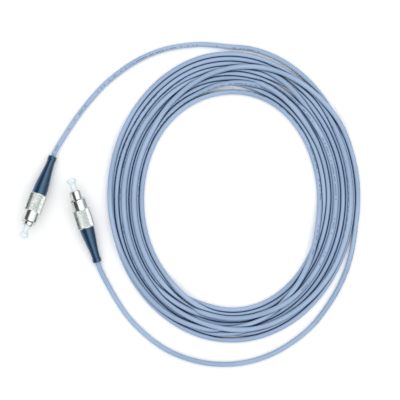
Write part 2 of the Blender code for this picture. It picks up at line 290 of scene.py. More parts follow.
def coilRoute():
    compass, out, innerWall, outerWall, rise = wishedTurns()
    across, height = settle(out, innerWall, outerWall, rise)
    radius = coilRadius(compass) + across
    angle = np.radians(compass)
    x = coil["centre"][0] + radius * np.cos(angle)
    y = coil["centre"][1] + radius * np.sin(angle)
    return np.stack([x, y, height], 1)


def smoothThrough(points, steps=12):
    # Catmull-Rom through the points, from the second to the last but one
    made = []
    for a, b, c, d in zip(points, points[1:], points[2:], points[3:]):
        for step in range(steps):
            t = step / steps
            made.append(
                0.5 * (2 * b + (c - a) * t + (2 * a - 5 * b + 4 * c - d) * t**2
                       + (3 * b - a - 3 * c + d) * t**3)
            )
    return made


def evenly(points, step):
    along = np.concatenate([[0], np.cumsum(np.linalg.norm(np.diff(points, axis=0), axis=1))])
    count = round(along[-1] / step) + 1
    wanted = np.linspace(0, along[-1], count)
    return np.stack([np.interp(wanted, along, points[:, axis]) for axis in range(3)], 1), along[-1]


def cordRoute():
    forwardA = plugMatrix("a").col[2].to_3d() * cordKind["insideBoot"]
    forwardB = plugMatrix("b").col[2].to_3d() * cordKind["insideBoot"]
    startA = np.array(Vector(tailA[0]) + forwardA)
    startB = np.array(Vector(tailB[0]) + forwardB)
    turns = coilRoute()
    held = settling["heldEnd"]
    first, second = turns[held], turns[2 * held]
    last, lastButOne = turns[-1 - held], turns[-1 - 2 * held]
    into = [2 * startA - np.array(tailA[0]), startA, *map(np.array, tailA), first, second]
    outOf = [2 * startB - np.array(tailB[0]), startB, *map(np.array, tailB), last, lastButOne]
    arriving = smoothThrough(into)
    leaving = smoothThrough(outOf)[::-1]
    rough = np.array([*arriving, *turns[held:-held], *leaving])
    fine, _ = evenly(rough, cordKind["fineStep"])
    tips = cordKind["heldTips"]
    for axis in range(3):
        eased = smoothed(fine[:, axis], cordKind["smoothReach"])
        fine[tips:-tips, axis] = eased[tips:-tips]
    return evenly(fine, cordKind["ringStep"])


route, cordLength = cordRoute()
print(f"cord route: {cordLength:.3f} m, {len(route)} rings, top {route[:, 2].max() * 1000:.1f} mm")

# helpers for geometry and shader trees


def link(tree, source, target):
    tree.links.new(source, target)


def node(tree, kind, **settings):
    made = tree.nodes.new(kind)
    for name, value in settings.items():
        setattr(made, name, value)
    return made


def geometryTree(name, sizes):
    # sizes is {input name: socket type}
    tree = bpy.data.node_groups.new(name, "GeometryNodeTree")
    tree.interface.new_socket("Geometry", in_out="INPUT", socket_type="NodeSocketGeometry")
    for label, kind in sizes.items():
        tree.interface.new_socket(label, in_out="INPUT", socket_type=kind)
    tree.interface.new_socket("Geometry", in_out="OUTPUT", socket_type="NodeSocketGeometry")
    return tree, node(tree, "NodeGroupInput"), node(tree, "NodeGroupOutput")


def runTree(obj, tree, values):
    # gives the modifier its inputs, then turns its result into the object's plain mesh
    modifier = obj.modifiers.new(tree.name, "NODES")
    modifier.node_group = tree
    for item in tree.interface.items_tree:
        if item.item_type == "SOCKET" and item.in_out == "INPUT" and item.name in values:
            modifier[item.identifier] = values[item.name]
    graph = bpy.context.evaluated_depsgraph_get()
    mesh = bpy.data.meshes.new_from_object(obj.evaluated_get(graph), depsgraph=graph)
    made = bpy.data.objects.new(obj.name, mesh)
    name = obj.name
    bpy.data.objects.remove(obj)
    bpy.context.scene.collection.objects.link(made)
    made.name = name
    return made


def inLine(tree, *nodes):
    # passes the main output of each node on to the next
    for before, after in zip(nodes, nodes[1:]):
        link(tree, before.outputs[0], after.inputs[0])


def mathNode(tree, operation, first, second=None):
    made = node(tree, "ShaderNodeMath", operation=operation)
    for socket, value in zip(made.inputs, (first, second)):
        if isinstance(value, (int, float)):
            socket.default_value = value
        elif value is not None:
            link(tree, value, socket)
    return made.outputs[0]


def rangeNode(tree, value, low, high, toLow=0.0, toHigh=1.0, smooth=True):
    made = node(tree, "ShaderNodeMapRange", interpolation_type="SMOOTHSTEP" if smooth else "LINEAR")
    link(tree, value, made.inputs["Value"])
    for label, amount in (("From Min", low), ("From Max", high), ("To Min", toLow), ("To Max", toHigh)):
        made.inputs[label].default_value = amount
    return made.outputs["Result"]


def vectorNode(tree, operation, vector, scale=None):
    made = node(tree, "ShaderNodeVectorMath", operation=operation)
    link(tree, vector, made.inputs[0])
    if scale is not None:
        link(tree, scale, made.inputs["Scale"])
    return made


def splitVector(tree, vector):
    parts = node(tree, "ShaderNodeSeparateXYZ")
    link(tree, vector, parts.inputs["Vector"])
    return parts.outputs


def awayFromAxis(tree, parts):
    # the part of a place that points straight out from the z axis
    across = node(tree, "ShaderNodeCombineXYZ")
    link(tree, parts["X"], across.inputs["X"])
    link(tree, parts["Y"], across.inputs["Y"])
    return across.outputs["Vector"]


def keepValue(tree, name, value):
    kept = node(tree, "GeometryNodeStoreNamedAttribute", data_type="FLOAT", domain="POINT")
    kept.inputs["Name"].default_value = name
    link(tree, value, kept.inputs["Value"])
    return kept


def keptValue(tree, name, kind="FLOAT"):
    read = node(tree, "GeometryNodeInputNamedAttribute", data_type=kind)
    read.inputs["Name"].default_value = name
    return read.outputs["Attribute"]


def shelteredValue(tree, middle, radius, reach):
    # 0 on an open surface, rising to 1 where turns touch: a point just ahead of the surface is
    # compared with its distance from the nearest turn's middle line
    # the jacket darkens its colour by this value: painted shade in the grooves between turns
    place = node(tree, "GeometryNodeInputPosition").outputs["Position"]
    facing = node(tree, "GeometryNodeInputNormal").outputs["Normal"]
    probe = vectorNode(tree, "ADD", place)
    link(tree, vectorNode(tree, "SCALE", facing, reach).outputs["Vector"], probe.inputs[1])
    nearest = node(tree, "GeometryNodeProximity", target_element="EDGES")
    link(tree, middle.outputs["Mesh"], nearest.inputs["Target"])
    link(tree, probe.outputs["Vector"], nearest.inputs["Sample Position"])
    sheltered = node(tree, "ShaderNodeMapRange")
    link(tree, nearest.outputs["Distance"], sheltered.inputs["Value"])
    link(tree, mathNode(tree, "ADD", radius, reach), sheltered.inputs["From Min"])
    link(tree, mathNode(tree, "SUBTRACT", radius, reach), sheltered.inputs["From Max"])
    return sheltered.outputs["Result"]


def cordTree():
    # a round skin, which also keeps how far along and around each point is, and how sheltered
    sizes = {
        "Diameter": "NodeSocketFloat",
        "Sides": "NodeSocketInt",
        "Probe": "NodeSocketFloat",
        "Material": "NodeSocketMaterial",
    }
    tree, given, result = geometryTree("cordSkin", sizes)
    radius = mathNode(tree, "MULTIPLY", given.outputs["Diameter"], 0.5)
    upright = node(tree, "GeometryNodeSetCurveNormal", mode="Z_UP")
    along = keepValue(tree, "along", node(tree, "GeometryNodeSplineParameter").outputs["Length"])
    ring = node(tree, "GeometryNodeCurvePrimitiveCircle")
    around = keepValue(tree, "around", node(tree, "GeometryNodeSplineParameter").outputs["Factor"])
    skin = node(tree, "GeometryNodeCurveToMesh")
    middle = node(tree, "GeometryNodeCurveToMesh")
    sheltered = keepValue(tree, "sheltered", shelteredValue(tree, middle, radius, given.outputs["Probe"]))
    shade = node(tree, "GeometryNodeSetShadeSmooth")
    realize = node(tree, "GeometryNodeRealizeInstances")
    paint = node(tree, "GeometryNodeSetMaterial")
    link(tree, radius, ring.inputs["Radius"])
    link(tree, given.outputs["Sides"], ring.inputs["Resolution"])
    inLine(tree, ring, around)
    link(tree, around.outputs["Geometry"], skin.inputs["Profile Curve"])
    skin.inputs["Fill Caps"].default_value = True
    inLine(tree, along, middle)
    inLine(tree, given, upright, along, skin, sheltered, shade, realize, paint, result)
    link(tree, given.outputs["Material"], paint.inputs["Material"])
    return tree


# shared shader effects: each is a group that puts out masks, values and heights only


def shaderGroup(name, inputs, outputs):
    # inputs is {socket name: (type, default)}, outputs is {socket name: type}
    group = bpy.data.node_groups.new(name, "ShaderNodeTree")
    for label, (kind, default) in inputs.items():
        socket = group.interface.new_socket(label, in_out="INPUT", socket_type=kind)
        if default is not None:
            socket.default_value = default
    for label, kind in outputs.items():
        group.interface.new_socket(label, in_out="OUTPUT", socket_type=kind)
    return group, node(group, "NodeGroupInput"), node(group, "NodeGroupOutput")


def mixColour(tree, mask, first, second):
    made = node(tree, "ShaderNodeMix", data_type="RGBA")
    link(tree, mask, made.inputs[0])
    for socket, colour in ((made.inputs[6], first), (made.inputs[7], second)):
        if isinstance(colour, tuple):
            socket.default_value = (*colour, 1.0)
        else:
            link(tree, colour, socket)
    return made.outputs[2]


def makeGrain():
    # the fine pebble of moulded or extruded plastic
    group, given, result = shaderGroup(
        "plasticGrain",
        {"Vector": ("NodeSocketVector", None), "Scale": ("NodeSocketFloat", 1.0)},
        {"Height": "NodeSocketFloat"},
    )
    noise = node(group, "ShaderNodeTexNoise")
    noise.inputs["Detail"].default_value = 3.0
    noise.inputs["Roughness"].default_value = 0.6
    link(group, given.outputs["Vector"], noise.inputs["Vector"])
    link(group, given.outputs["Scale"], noise.inputs["Scale"])
    link(group, noise.outputs["Fac"], result.inputs["Height"])
    return group


def makeHandling():
    # soft patches where fingers and dust have dulled a surface
    group, given, result = shaderGroup(
        "handlingMarks",
        {"Vector": ("NodeSocketVector", None), "Scale": ("NodeSocketFloat", 1.0)},
        {"Mask": "NodeSocketFloat", "Dust": "NodeSocketFloat"},
    )
    patches = node(group, "ShaderNodeTexNoise")
    patches.inputs["Detail"].default_value = 4.0
    patches.inputs["Distortion"].default_value = 0.6
    specks = node(group, "ShaderNodeTexVoronoi")
    finer = mathNode(group, "MULTIPLY", given.outputs["Scale"], 9.0)
    for texture in (patches, specks):
        link(group, given.outputs["Vector"], texture.inputs["Vector"])
    link(group, given.outputs["Scale"], patches.inputs["Scale"])
    link(group, finer, specks.inputs["Scale"])
    link(group, rangeNode(group, patches.outputs["Fac"], 0.42, 0.66), result.inputs["Mask"])
    link(group, rangeNode(group, specks.outputs["Distance"], 0.10, 0.04), result.inputs["Dust"])
    return group


def makeLatheLines():
    # fine rings that a turning tool leaves round the z axis
    group, given, result = shaderGroup(
        "latheLines",
        {"Vector": ("NodeSocketVector", None), "Lines": ("NodeSocketFloat", 12.0)},
        {"Height": "NodeSocketFloat"},
    )
    parts = splitVector(group, given.outputs["Vector"])
    outward = vectorNode(group, "LENGTH", awayFromAxis(group, parts)).outputs["Value"]
    place = mathNode(group, "ADD", parts["Z"], outward)
    noise = node(group, "ShaderNodeTexNoise", noise_dimensions="1D")
    noise.inputs["Detail"].default_value = 4.0
    link(group, place, noise.inputs["W"])
    link(group, given.outputs["Lines"], noise.inputs["Scale"])
    link(group, noise.outputs["Fac"], result.inputs["Height"])
    return group


effects = {"grain": makeGrain(), "handling": makeHandling(), "latheLines": makeLatheLines()}


def newMaterial(name, colour, roughness, metallic=0.0):
    material = bpy.data.materials.new(name)
    material.use_nodes = True
    tree = material.node_tree
    shader = tree.nodes["Principled BSDF"]
    shader.inputs["Base Color"].default_value = (*colour, 1.0)
    shader.inputs["Roughness"].default_value = roughness
    shader.inputs["Metallic"].default_value = metallic
    return material, tree, shader


def effect(tree, name, vector, **values):
    made = node(tree, "ShaderNodeGroup", node_tree=effects[name])
    link(tree, vector, made.inputs["Vector"])
    for label, value in values.items():
        made.inputs[label].default_value = value
    return made.outputs


def bump(tree, shader, height, strength, distance):
    made = node(tree, "ShaderNodeBump")
    made.inputs["Strength"].default_value = strength
    made.inputs["Distance"].default_value = distance
    link(tree, height, made.inputs["Height"])
    link(tree, made.outputs["Normal"], shader.inputs["Normal"])


def objectVector(tree):
    return node(tree, "ShaderNodeTexCoord").outputs["Object"]


def surfaceValue(tree, name):
    return node(tree, "ShaderNodeAttribute", attribute_name=name).outputs["Fac"]


def roughen(tree, shader, mask, roughness):
    # two roughnesses: where the mask is 0 and where it is 1
    link(tree, rangeNode(tree, mask, 0.0, 1.0, *roughness), shader.inputs["Roughness"])


def spreadTone(tree, noise):
    # a noise keeps near its middle, so that part is spread from 0 to 1
    return rangeNode(tree, noise.outputs["Fac"], 0.35, 0.65)


def connectorVector(tree, tag):
    # object coordinates turned into the connector's own frame, in mm
    turn = node(tree, "ShaderNodeMapping", vector_type="TEXTURE")
    turn.inputs["Location"].default_value = plugs[tag]["tip"]
    turn.inputs["Rotation"].default_value = plugMatrix(tag).to_euler()
    turn.inputs["Scale"].default_value = (mm, mm, mm)
    link(tree, objectVector(tree), turn.inputs["Vector"])
    return turn.outputs["Vector"]


# jacket

jacket = {
    "colour": (0.345, 0.455, 0.630),
    "shade": (0.290, 0.395, 0.560),
    "shadeScale": 14.0,
    # painted shade: the dark navy that the grooves between turns are painted towards, over which range of
    # the sheltered value, and at most how much
    "paintedShade": (0.008, 0.032, 0.095),
    "paintedShadeRange": (0.02, 0.60),
    "paintedShadeMost": 0.96,
    "roughness": 0.42,
    "handledRoughness": (0.38, 0.50),
    "handledScale": 120.0,
    "gloss": 0.3,
    "streaks": (60.0, 40.0),
    "streakShare": 0.5,
    "grainScale": 2600.0,
    "bump": (0.25, 0.00003),
}

# the printed line: its place is a share of the way round, its lengths are in metres
ink = {
    "colour": (0.11, 0.15, 0.24),
    "strength": 0.7,
    "place": 0.75,
    "wander": 0.16,
    "wanderRate": 3.7,
    "edge": (0.040, 0.030),
    "blockEvery": 0.46,
    "blockShare": 0.34,
    "dash": 0.0011,
    "dashesInWord": 9,
    "dashesLeftOut": 0.42,
    "wordsLeftOut": 0.3,
}


def chanceAlong(tree, along, length, leftOut):
    # 1 on some of the cable's stretches of this length and 0 on the rest
    cell = mathNode(tree, "FLOOR", mathNode(tree, "DIVIDE", along, length))
    chance = node(tree, "ShaderNodeTexWhiteNoise", noise_dimensions="1D")
    link(tree, cell, chance.inputs["W"])
    return mathNode(tree, "GREATER_THAN", chance.outputs["Value"], leftOut)


def inkDashes(tree, along, around):
    # a broken line of plain dashes that wanders round the cable, in blocks
    waving = mathNode(tree, "SINE", mathNode(tree, "MULTIPLY", along, ink["wanderRate"]))
    line = mathNode(tree, "ADD", mathNode(tree, "MULTIPLY", waving, ink["wander"]), ink["place"])
    offLine = mathNode(tree, "ABSOLUTE", mathNode(tree, "SUBTRACT", around, line))
    onLine = rangeNode(tree, offLine, *ink["edge"])
    block = mathNode(tree, "FRACT", mathNode(tree, "DIVIDE", along, ink["blockEvery"]))
    inBlock = mathNode(tree, "LESS_THAN", block, ink["blockShare"])
    marked = chanceAlong(tree, along, ink["dash"], ink["dashesLeftOut"])
    kept = chanceAlong(tree, along, ink["dash"] * ink["dashesInWord"], ink["wordsLeftOut"])
    both = mathNode(tree, "MULTIPLY", mathNode(tree, "MULTIPLY", onLine, inBlock), marked)
    return mathNode(tree, "MULTIPLY", both, kept)


def jacketColour(tree, along, around):
    drift = node(tree, "ShaderNodeTexNoise", noise_dimensions="1D")
    drift.inputs["Scale"].default_value = jacket["shadeScale"]
    link(tree, along, drift.inputs["W"])
    plain = mixColour(tree, spreadTone(tree, drift), jacket["shade"], jacket["colour"])
    inked = mathNode(tree, "MULTIPLY", inkDashes(tree, along, around), ink["strength"])
    printed = mixColour(tree, inked, plain, ink["colour"])
    # where turns lie against each other the colour is painted darker: painted shade in the grooves
    sheltered = surfaceValue(tree, "sheltered")
    paintedShadeMask = rangeNode(tree, sheltered, *jacket["paintedShadeRange"], 0.0, jacket["paintedShadeMost"])
    return mixColour(tree, paintedShadeMask, printed, jacket["paintedShade"])


def jacketRelief(tree, along, around):
    # faint streaks that the extruder leaves along the cable, under a fine grain
    streaks = node(tree, "ShaderNodeTexNoise", noise_dimensions="2D")
    streaks.inputs["Scale"].default_value = 1.0
    place = node(tree, "ShaderNodeCombineXYZ")
    for value, scale, axis in zip((around, along), jacket["streaks"], "XY"):
        link(tree, mathNode(tree, "MULTIPLY", value, scale), place.inputs[axis])
    link(tree, place.outputs["Vector"], streaks.inputs["Vector"])
    grain = effect(tree, "grain", objectVector(tree), Scale=jacket["grainScale"])["Height"]
    streaked = mathNode(tree, "MULTIPLY", streaks.outputs["Fac"], jacket["streakShare"])
    return mathNode(tree, "ADD", streaked, grain)


def jacketMaterial():
    material, tree, shader = newMaterial("jacketBlueGrey", jacket["colour"], jacket["roughness"])
    shader.inputs["Specular IOR Level"].default_value = jacket["gloss"]
    along = surfaceValue(tree, "along")
    around = surfaceValue(tree, "around")
    link(tree, jacketColour(tree, along, around), shader.inputs["Base Color"])
    handled = effect(tree, "handling", objectVector(tree), Scale=jacket["handledScale"])["Mask"]
    roughen(tree, shader, handled, jacket["handledRoughness"])
    bump(tree, shader, jacketRelief(tree, along, around), *jacket["bump"])
    return material


def addCord():
    data = bpy.data.curves.new("cable", "CURVE")
    data.dimensions = "3D"
    spline = data.splines.new("POLY")
    spline.points.add(len(route) - 1)
    for point, place in zip(spline.points, route):
        point.co = (*place, 1.0)
    cord = bpy.data.objects.new("cable", data)
    bpy.context.scene.collection.objects.link(cord)
    sizes = {
        "Diameter": cordKind["diameter"],
        "Sides": cordKind["sides"],
        "Probe": cordKind["probe"],
        "Material": jacketMaterial(),
    }
    cord = runTree(cord, cordTree(), sizes)
    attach(cord, "root")
    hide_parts("cable_tail_a", "cable_coil", "cable_tail_b")


addCord()
print("cord made")

# connector pieces: turned and moulded shapes in mm, along and out from the connector's axis

sidesRound = 96


def rounded(outline, steps=4):
    # outline points are (station, radius) or (station, radius, corner size) round a closed
    # profile; each sized corner becomes a short curve
    made = []
    count = len(outline)
    for index, point in enumerate(outline):
        here = np.array(point[:2], float)
        size = point[2] if len(point) > 2 else 0.0
        if size == 0:
            made.append(tuple(here))
            continue
        before = np.array(outline[index - 1][:2], float) - here
        after = np.array(outline[(index + 1) % count][:2], float) - here
        start = here + before / np.linalg.norm(before) * size
        end = here + after / np.linalg.norm(after) * size
        for step in range(steps + 1):
            t = step / steps
            made.append(tuple((1 - t) ** 2 * start + 2 * t * (1 - t) * here + t**2 * end))
    return made


def turnedMesh(name, outline, sides=sidesRound):
    # an outline that starts and ends on the axis is solid, any other is closed on itself
    shape = bmesh.new()
    rim = [shape.verts.new((radius * mm, 0.0, station * mm)) for station, radius in outline]
    edges = [shape.edges.new(pair) for pair in zip(rim, rim[1:])]
    if outline[0][1] > 0:
        edges.append(shape.edges.new((rim[-1], rim[0])))
    bmesh.ops.spin(
        shape,
        geom=rim + edges,
        cent=(0.0, 0.0, 0.0),
        axis=(0.0, 0.0, 1.0),
        angle=math.tau,
        steps=sides,
        use_merge=True,
    )
    bmesh.ops.remove_doubles(shape, verts=shape.verts, dist=1e-7)
    bmesh.ops.recalc_face_normals(shape, faces=shape.faces)
    mesh = bpy.data.meshes.new(name)
    shape.to_mesh(mesh)
    shape.free()
    return mesh


def addPiece(mesh, material):
    obj = bpy.data.objects.new(mesh.name, mesh)
    bpy.context.scene.collection.objects.link(obj)
    mesh.materials.append(material)
    return obj


def shadeRound(mesh, angle=30.0):
    mesh.shade_smooth()
    mesh.set_sharp_from_angle(angle=math.radians(angle))


def mountPiece(piece, tag, body, replaced):
    piece.data.transform(plugMatrix(tag))
    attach(piece, body)
    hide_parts(replaced)


# boot

boot = {
    "length": 25.7,
    "thin": 2.35,
    "root": 4.4,
    "collar": 2.65,
    "collarLength": 2.3,
    "mouth": 1.62,
    "mouthLength": 2.2,
    "mouthFlare": 0.25,
    "mouthStep": 0.8,
    "rootBore": 3.8,
    # going inward from the root: where the bore narrows, and to what radius
    "boreSteps": ((23.9, 3.05), (16.9, 2.4), (13.9, 1.8, 0.1)),
    "swellStart": 1.5,
    "swellLength": 21.5,
    "rows": 30,
    "afterCollar": 0.5,
    "beforeRoot": 0.6,
    "colour": (0.004, 0.029, 0.078),
    "dust": (0.10, 0.14, 0.20),
    "sheen": (0.60, 0.86, 1.0),
    "gloss": 0.88,
    "roughness": (0.12, 0.22),
    "patchScale": 0.35,
    "dustShare": 0.25,
    "seamEdge": (0.10, 0.03),
    "grainScale": 7.0,
    "grainShare": 0.5,
    "bump": (0.35, 0.00004),
}


def bootBore():
    points = []
    wider = boot["rootBore"]
    for station, *narrower in boot["boreSteps"]:
        points += [(station, wider), (station, *narrower)]
        wider = narrower[0]
    return [*points, (boot["mouthLength"] + boot["mouthStep"], wider)]


def bootOutline():
    first = boot["collarLength"] + boot["afterCollar"]
    last = boot["length"] - boot["beforeRoot"]
    stations = np.linspace(first, last, boot["rows"])
    swell = ease((stations - boot["swellStart"]) / boot["swellLength"])
    flank = zip(stations, boot["thin"] + (boot["root"] - boot["thin"]) * swell)
    return [
        (0.0, boot["mouth"] + boot["mouthFlare"], 0.15),
        (0.0, boot["collar"], 0.45),
        (boot["collarLength"], boot["collar"], 0.25),
        *flank,
        (boot["length"], boot["root"], 0.3),
        (boot["length"], boot["rootBore"], 0.15),
        *bootBore(),
        (boot["mouthLength"], boot["mouth"], 0.2),
        (boot["mouthFlare"], boot["mouth"], 0.1),
    ]


def bootMaterial(tag):
    material, tree, shader = newMaterial(f"bootNavy_{tag}", boot["colour"], boot["roughness"][0])
    shader.inputs["Specular IOR Level"].default_value = boot["gloss"]
    shader.inputs["Specular Tint"].default_value = (*boot["sheen"], 1.0)
    vector = connectorVector(tree, tag)
    handled = effect(tree, "handling", vector, Scale=boot["patchScale"])
    roughen(tree, shader, handled["Mask"], boot["roughness"])
    dusty = mathNode(tree, "MULTIPLY", handled["Dust"], boot["dustShare"])
    link(tree, mixColour(tree, dusty, boot["colour"], boot["dust"]), shader.inputs["Base Color"])
    offSeam = mathNode(tree, "ABSOLUTE", splitVector(tree, vector)["Y"])
    seam = rangeNode(tree, offSeam, *boot["seamEdge"])
    grain = effect(tree, "grain", vector, Scale=boot["grainScale"])["Height"]
    height = mathNode(tree, "ADD", mathNode(tree, "MULTIPLY", grain, boot["grainShare"]), seam)
    bump(tree, shader, height, *boot["bump"])
    return material


def addBoot(tag):
    mesh = turnedMesh(f"strainReliefBoot_{tag}", rounded(bootOutline()))
    shadeRound(mesh)
    piece = addPiece(mesh, bootMaterial(tag))
    mountPiece(piece, tag, "root", f"boot_{tag}")


# metal finishes: lines and depth are those that the turning tool leaves

metals = {
    "brightNickel": {"colour": (0.70, 0.74, 0.72), "roughness": (0.10, 0.22), "lines": 9.0, "depth": 0.10},
    "paleSteel": {"colour": (0.56, 0.57, 0.58), "roughness": (0.22, 0.36), "lines": 14.0, "depth": 0.20},
    "warmBrass": {"colour": (0.74, 0.58, 0.28), "roughness": (0.22, 0.38), "lines": 12.0, "depth": 0.25},
    "crimpedMetal": {"colour": (0.62, 0.62, 0.61), "roughness": (0.30, 0.48), "lines": 5.0, "depth": 0.45},
}

# what handling does to clean metal: the size of its patches, their tone and how strongly it shows
metalWear = {"patchScale": 0.45, "tone": 0.86, "share": 0.5, "lineHeight": 0.00001}


def metalMaterial(name, tag):
    kind = metals[name]
    material, tree, shader = newMaterial(f"{name}_{tag}", kind["colour"], kind["roughness"][0], 1.0)
    vector = connectorVector(tree, tag)
    handled = effect(tree, "handling", vector, Scale=metalWear["patchScale"])["Mask"]
    smooth = rangeNode(tree, handled, 0.0, 1.0, *kind["roughness"])
    duller = mathNode(tree, "MULTIPLY", surfaceValue(tree, "knurled"), nut["knurlRoughness"])
    link(tree, mathNode(tree, "ADD", smooth, duller), shader.inputs["Roughness"])
    worn = tuple(metalWear["tone"] * part for part in kind["colour"])
    dulled = mathNode(tree, "MULTIPLY", handled, metalWear["share"])
    link(tree, mixColour(tree, dulled, kind["colour"], worn), shader.inputs["Base Color"])
    lines = effect(tree, "latheLines", vector, Lines=kind["lines"])["Height"]
    bump(tree, shader, lines, kind["depth"], metalWear["lineHeight"])
    return material


# coupling nut: a turned blank whose rear is a lattice of diamonds, raised into a knurl, with a
# thread in its bore

nut = {
    "rear": 24.9,
    "length": 18.0,
    "knurlRadius": 5.1,
    "knurlDepth": 0.15,
    "knurlTop": 0.32,
    "knurlRoughness": 0.12,
    "diamonds": 48,
    "knurlRows": 24,
    "rowStep": 0.465,
    "plainRear": 0.2,
    "neckRise": 0.18,
    "neckRadius": 4.75,
    "chamfer": 0.6,
    "skirtDepth": 10.5,
    "skirtRadius": 4.65,
    "threadRadius": 3.85,
    "threadPitch": 0.75,
    "threadDepth": 0.2,
    "threadRows": 6,
    "threadRunout": (0.4, 0.2),
    "countersink": 0.4,
    "relief": 0.25,
    "ringSlot": (29.8, 31.0),
    "slotRadius": 4.88,
}


def nutProfile(back):
    # from the front of the knurl round the neck, through the bore and back to the knurl's rear
    rear = nut["rear"] - back
    front = rear + nut["length"]
    knurlRear = rear + nut["plainRear"]
    knurlFront = knurlRear + nut["knurlRows"] * nut["rowStep"]
    groove = nut["knurlRadius"] - nut["knurlDepth"]
    shoulder = rear + nut["skirtDepth"]
    slotRear, slotFront = (station - back for station in nut["ringSlot"])
    thread = nut["threadRadius"]
    threadFront = front - nut["threadRunout"][0]
    threadRear = shoulder + nut["threadRunout"][1]
    pitches = (threadFront - threadRear) / nut["threadPitch"]
    stations = np.linspace(threadFront, threadRear, round(pitches * nut["threadRows"]) + 1)
    profile = [
        (knurlFront, groove),
        (knurlFront + nut["neckRise"], nut["neckRadius"], 0.05),
        (front - nut["chamfer"], nut["neckRadius"], 0.08),
        (front, nut["neckRadius"] - nut["chamfer"], 0.08),
        (front, thread + nut["countersink"], 0.1),
        *[(station, thread) for station in stations],
        (shoulder, thread + nut["relief"]),
        (shoulder, nut["skirtRadius"]),
        (slotFront, nut["skirtRadius"]),
        (slotFront, nut["slotRadius"]),
        (slotRear, nut["slotRadius"]),
        (slotRear, nut["skirtRadius"]),
        (rear, nut["skirtRadius"], 0.08),
        (rear, groove - nut["plainRear"] / 2, 0.05),
        (knurlRear, groove),
    ]
    return rounded(profile)[1:-1], knurlRear, groove


def nutBlank(tag):
    # rings of twice as many points as there are diamonds, and between two of them the lattice:
    # each lattice row has every other point, and the rows take turns
    profile, knurlRear, groove = nutProfile(plugs[tag]["nutBack"])
    sides = 2 * nut["diamonds"]
    last = nut["knurlRows"]
    shape = bmesh.new()
    knurled = shape.faces.layers.int.new("knurled")
    threaded = shape.verts.layers.float.new("threaded")

    def ring(station, radius, places):
        angles = [math.tau * place / sides for place in places]
        return {
            place: shape.verts.new((radius * mm * math.cos(a), radius * mm * math.sin(a), station * mm))
            for place, a in zip(places, angles)
        }

    def band(one, other):
        for here in range(sides):
            after = (here + 1) % sides
            shape.faces.new((one[here], one[after], other[after], other[here]))

    rings = [ring(station, radius, range(sides)) for station, radius in profile]
    for made, (station, radius) in zip(rings, profile):
        for vert in made.values():
            vert[threaded] = float(radius == nut["threadRadius"])
    rows = []
    for row in range(last + 1):
        places = range(sides) if row in (0, last) else range(row % 2, sides, 2)
        rows.append(ring(knurlRear + row * nut["rowStep"], groove, places))
    for one, other in zip([rows[last], *rings], [*rings, rows[0]]):
        band(one, other)
    for row in range(last + 1):
        for middle in range((row + 1) % 2, sides, 2):
            before, after = (middle - 1) % sides, (middle + 1) % sides
            if row == 0:
                corners = (rows[0][before], rows[0][middle], rows[0][after], rows[1][middle])
            elif row == last:
                corners = (rows[last][after], rows[last][middle], rows[last][before], rows[last - 1][middle])
            else:
                corners = (rows[row - 1][middle], rows[row][after], rows[row + 1][middle], rows[row][before])
            shape.faces.new(corners)[knurled] = int(0 < row < last)
    bmesh.ops.recalc_face_normals(shape, faces=shape.faces)
    mesh = bpy.data.meshes.new(f"couplingNut_{tag}")
    shape.to_mesh(mesh)
    shape.free()
    return mesh


def threadRidge(tree, parts, pitch, depth):
    # how far the bore's wall moves out at each place, so that it winds as a thread
    around = mathNode(tree, "DIVIDE", mathNode(tree, "ARCTAN2", parts["Y"], parts["X"]), math.tau)
    winding = mathNode(tree, "SUBTRACT", mathNode(tree, "DIVIDE", parts["Z"], pitch), around)
    ridge = mathNode(tree, "SUBTRACT", mathNode(tree, "FRACT", winding), 0.5)
    ridge = mathNode(tree, "MULTIPLY", mathNode(tree, "ABSOLUTE", ridge), 2.0)
    ridge = mathNode(tree, "MULTIPLY", ridge, depth)
    return mathNode(tree, "MULTIPLY", ridge, keptValue(tree, "threaded"))


def nutTree():
    sizes = {
        "Knurl Depth": "NodeSocketFloat",
        "Knurl Top": "NodeSocketFloat",
        "Thread Pitch": "NodeSocketFloat",
        "Thread Depth": "NodeSocketFloat",
        "Material": "NodeSocketMaterial",
    }
    tree, given, result = geometryTree("knurlAndThread", sizes)
    raised = node(tree, "GeometryNodeExtrudeMesh", mode="FACES")
    shrink = node(tree, "GeometryNodeScaleElements", domain="FACE")
    link(tree, keptValue(tree, "knurled", "INT"), raised.inputs["Selection"])
    link(tree, given.outputs["Knurl Depth"], raised.inputs["Offset Scale"])
    link(tree, raised.outputs["Top"], shrink.inputs["Selection"])
    link(tree, given.outputs["Knurl Top"], shrink.inputs["Scale"])
    parts = splitVector(tree, node(tree, "GeometryNodeInputPosition").outputs["Position"])
    outward = vectorNode(tree, "NORMALIZE", awayFromAxis(tree, parts)).outputs["Vector"]
    ridge = threadRidge(tree, parts, given.outputs["Thread Pitch"], given.outputs["Thread Depth"])
    cut = node(tree, "GeometryNodeSetPosition")
    link(tree, vectorNode(tree, "SCALE", outward, ridge).outputs["Vector"], cut.inputs["Offset"])
    realize = node(tree, "GeometryNodeRealizeInstances")
    paint = node(tree, "GeometryNodeSetMaterial")
    link(tree, given.outputs["Material"], paint.inputs["Material"])
    inLine(tree, given, raised, shrink, cut, realize, paint, result)
    return tree


def addNut(tag, tree, nickel):
    blank = addPiece(nutBlank(tag), nickel)
    values = {
        "Knurl Depth": nut["knurlDepth"] * mm,
        "Knurl Top": nut["knurlTop"],
        "Thread Pitch": nut["threadPitch"] * mm,
        "Thread Depth": nut["threadDepth"] * mm,
        "Material": nickel,
    }
    piece = runTree(blank, tree, values)
    shadeRound(piece.data, 24.0)
    mountPiece(piece, tag, f"nut_{tag}", f"coupling_nut_{tag}")


# plug frame: the barrel with its key, and the flange that the nut pulls on

